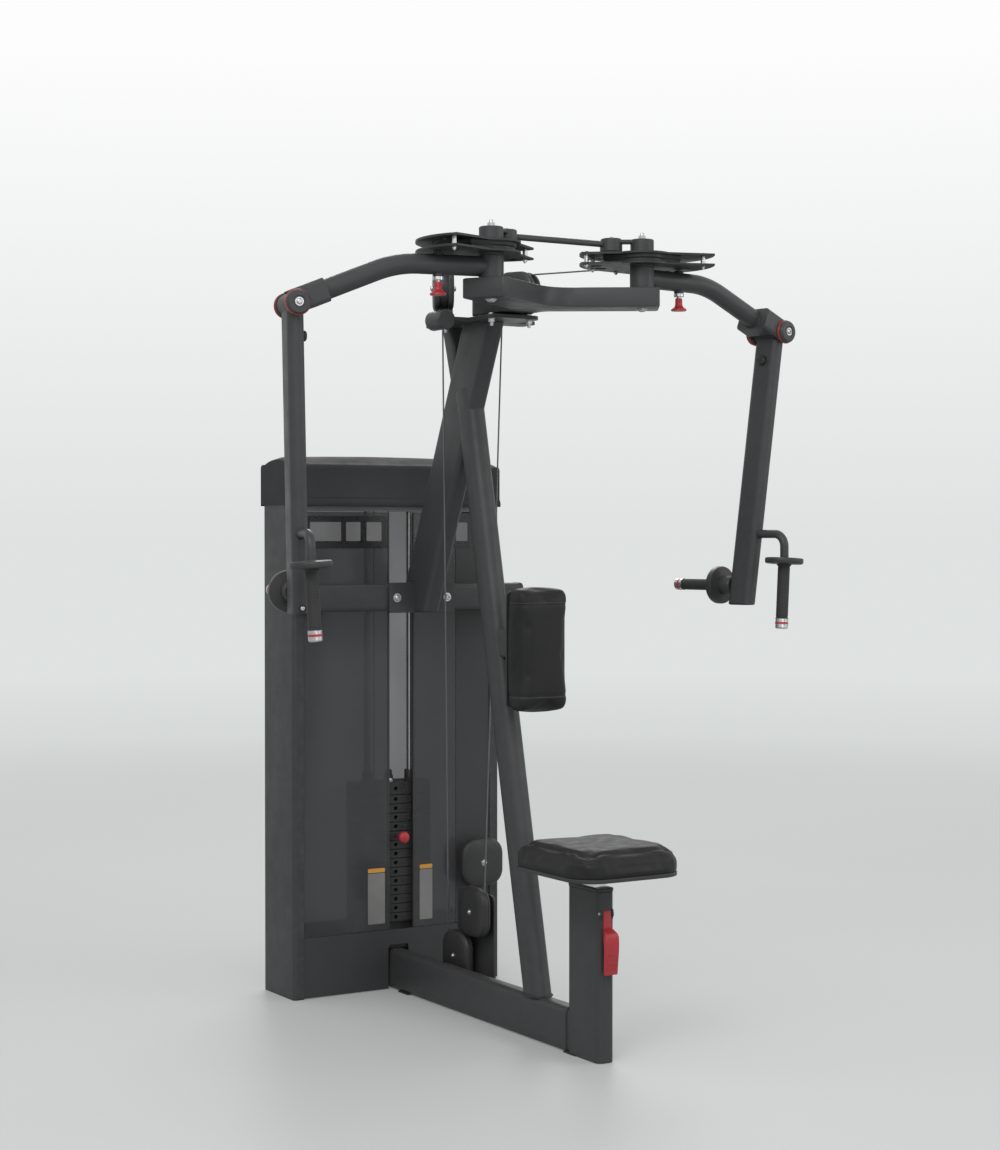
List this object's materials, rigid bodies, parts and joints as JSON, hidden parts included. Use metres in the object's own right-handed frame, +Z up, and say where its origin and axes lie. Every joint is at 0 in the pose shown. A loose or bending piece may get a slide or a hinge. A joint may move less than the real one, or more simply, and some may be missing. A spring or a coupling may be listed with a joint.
{
  "type": "pec deck machine",
  "caption": "Selectorised pec fly and rear delt machine: shrouded weight stack, leaning mast and strut, swinging arms with hanging handles, raised seat and a back pad.",
  "frame": {"origin": "centre of the footprint's bounding box, on the floor", "axes": "+Z up; the seat is at -Y, the weight tower at +Y, and X runs across the machine's mirror plane"},
  "size_m": [1.5492, 1.4, 2.091],
  "materials": {
    "charcoal_paint": "satin charcoal powder coat",
    "black_plastic": "matte",
    "black_rubber": "matte, fine texture",
    "black_upholstery": "stitched leatherette",
    "bright_steel": "polished",
    "red_plastic": "satin",
    "smoked_sheet": "smoked acrylic, semi-gloss",
    "stack_iron": "black enamel"
  },
  "bodies": {
    "frame": {"base_beam": "charcoal_paint", "seat_post": "charcoal_paint", "front_strut": "charcoal_paint", "mast": "charcoal_paint", "mast_base_plate": "charcoal_paint", "crossbar": "charcoal_paint", "rear_brace": "charcoal_paint", "yoke": "charcoal_paint", "head_plate": "charcoal_paint", "pivot_shaft_left": "charcoal_paint", "pivot_shaft_right": "charcoal_paint", "tie_bar": "charcoal_paint", "column_left": "charcoal_paint", "column_right": "charcoal_paint", "header": "charcoal_paint", "side_panel": "charcoal_paint", "kick_panel": "charcoal_paint", "stack_base": "charcoal_paint", "top_crossmember": "charcoal_paint", "back_pad_mount": "charcoal_paint", "base_pulley_bracket": "charcoal_paint", "seat_collar": "black_plastic", "base_pulley_cover_1": "black_plastic", "base_pulley_cover_2": "black_plastic", "base_pulley_cover_3": "black_plastic", "stack_cushion": "black_rubber", "back_pad": "black_upholstery", "guide_rod_left": "bright_steel", "guide_rod_right": "bright_steel", "cable_left": "bright_steel", "cable_right": "bright_steel", "stack_cable": "bright_steel", "return_cable": "bright_steel", "window_left": "smoked_sheet", "window_right": "smoked_sheet", "resting_plates": "stack_iron"},
    "stack": {"lifted_plates": "stack_iron", "selector_rod": "bright_steel"},
    "selector": {"selector_pin": "red_plastic"},
    "seat": {"seat_stem": "bright_steel", "seat_pad": "black_upholstery"},
    "lever": {"seat_lever": "red_plastic"},
    "lock": {"lock_pin": "bright_steel"},
    "top_wheel": {"header_pulley": "black_plastic"},
    "head_wheel_left": {"head_pulley_left": "black_plastic"},
    "cam_wheel_left": {"cam_left": "charcoal_paint"},
    "upper_arm_left": {"arm_left": "charcoal_paint", "elbow_axle_left": "black_plastic"},
    "start_pin_left": {"pull_pin_left": "red_plastic"},
    "hanging_arm_left": {"lower_arm_left": "charcoal_paint", "vertical_grip_left": "black_rubber", "horizontal_grip_left": "black_rubber"},
    "head_wheel_right": {"head_pulley_right": "black_plastic"},
    "cam_wheel_right": {"cam_right": "charcoal_paint"},
    "upper_arm_right": {"arm_right": "charcoal_paint", "elbow_axle_right": "black_plastic"},
    "start_pin_right": {"pull_pin_right": "red_plastic"},
    "hanging_arm_right": {"lower_arm_right": "charcoal_paint", "vertical_grip_right": "black_rubber", "horizontal_grip_right": "black_rubber"}
  },
  "joints": [
    {"name": "stack_lift", "type": "slide", "parent": "frame", "child": "stack", "axis": [0, 0, 1], "range_m": [0, 0.312], "deforming": ["stack_cable"]},
    {"name": "selector_slide", "type": "slide", "parent": "stack", "child": "selector", "axis": [0, -1, 0], "range_m": [0, 0.045]},
    {"name": "seat_slide", "type": "slide", "parent": "frame", "child": "seat", "axis": [0, 0, 1], "range_m": [0, 0.16]},
    {"name": "lever_pivot", "type": "hinge", "parent": "frame", "child": "lever", "pos_m": [0, -0.556, 0.372], "axis": [1, 0, 0], "range_deg": [-12, 0], "stiffness_Nm_per_rad": 0.6, "springref_deg": 17.19},
    {"name": "lock_slide", "type": "slide", "parent": "frame", "child": "lock", "axis": [0, -1, 0], "range_m": [0, 0.013]},
    {"name": "header_pulley_spin", "type": "hinge", "parent": "frame", "child": "top_wheel", "pos_m": [0, 0.6085, 1.466], "axis": [1, 0, 0], "range_deg": [-420, 0]},
    {"name": "head_pulley_spin_left", "type": "hinge", "parent": "frame", "child": "head_wheel_left", "pos_m": [-0.118, 0.04, 1.966], "axis": [0.8871, -0.4616, 0], "range_deg": [-200, 0]},
    {"name": "swing_left", "type": "hinge", "parent": "frame", "child": "cam_wheel_left", "pos_m": [-0.228, -0.388, 2.015], "axis": [0, 0, 1], "range_deg": [0, 90]},
    {"name": "start_angle_left", "type": "hinge", "parent": "cam_wheel_left", "child": "upper_arm_left", "pos_m": [-0.228, -0.388, 1.9725], "axis": [0, 0, 1], "range_deg": [-45, 15]},
    {"name": "start_pin_left", "type": "slide", "parent": "upper_arm_left", "child": "start_pin_left", "axis": [0, 0, -1], "range_m": [0, 0.014], "stiffness_N_per_m": 300, "springref_m": -0.005},
    {"name": "elbow_left", "type": "hinge", "parent": "upper_arm_left", "child": "hanging_arm_left", "pos_m": [-0.72667, -0.29107, 1.862], "axis": [0.1908, 0.9816, 0], "range_deg": [-18, 12]},
    {"name": "head_pulley_spin_right", "type": "hinge", "parent": "frame", "child": "head_wheel_right", "pos_m": [0.118, 0.04, 1.966], "axis": [-0.8871, -0.4616, 0], "range_deg": [0, 200]},
    {"name": "swing_right", "type": "hinge", "parent": "frame", "child": "cam_wheel_right", "pos_m": [0.228, -0.388, 2.015], "axis": [0, 0, 1], "range_deg": [-90, 0]},
    {"name": "start_angle_right", "type": "hinge", "parent": "cam_wheel_right", "child": "upper_arm_right", "pos_m": [0.228, -0.388, 1.9725], "axis": [0, 0, 1], "range_deg": [-15, 45]},
    {"name": "start_pin_right", "type": "slide", "parent": "upper_arm_right", "child": "start_pin_right", "axis": [0, 0, -1], "range_m": [0, 0.014], "stiffness_N_per_m": 300, "springref_m": -0.005},
    {"name": "elbow_right", "type": "hinge", "parent": "upper_arm_right", "child": "hanging_arm_right", "pos_m": [0.72667, -0.29107, 1.862], "axis": [-0.1908, 0.9816, 0], "range_deg": [-12, 18]}
  ],
  "couplings": [
    {"joint": "header_pulley_spin", "follows": "stack_lift", "rad_per_m": -22.222},
    {"joint": "lock_slide", "follows": "lever_pivot", "m_per_rad": -0.06},
    {"joint": "head_pulley_spin_left", "follows": "stack_lift", "rad_per_m": -10.2},
    {"joint": "swing_left", "follows": "stack_lift", "rad_per_m": 5},
    {"joint": "head_pulley_spin_right", "follows": "stack_lift", "rad_per_m": 10.2},
    {"joint": "swing_right", "follows": "stack_lift", "rad_per_m": -5}
  ]
}
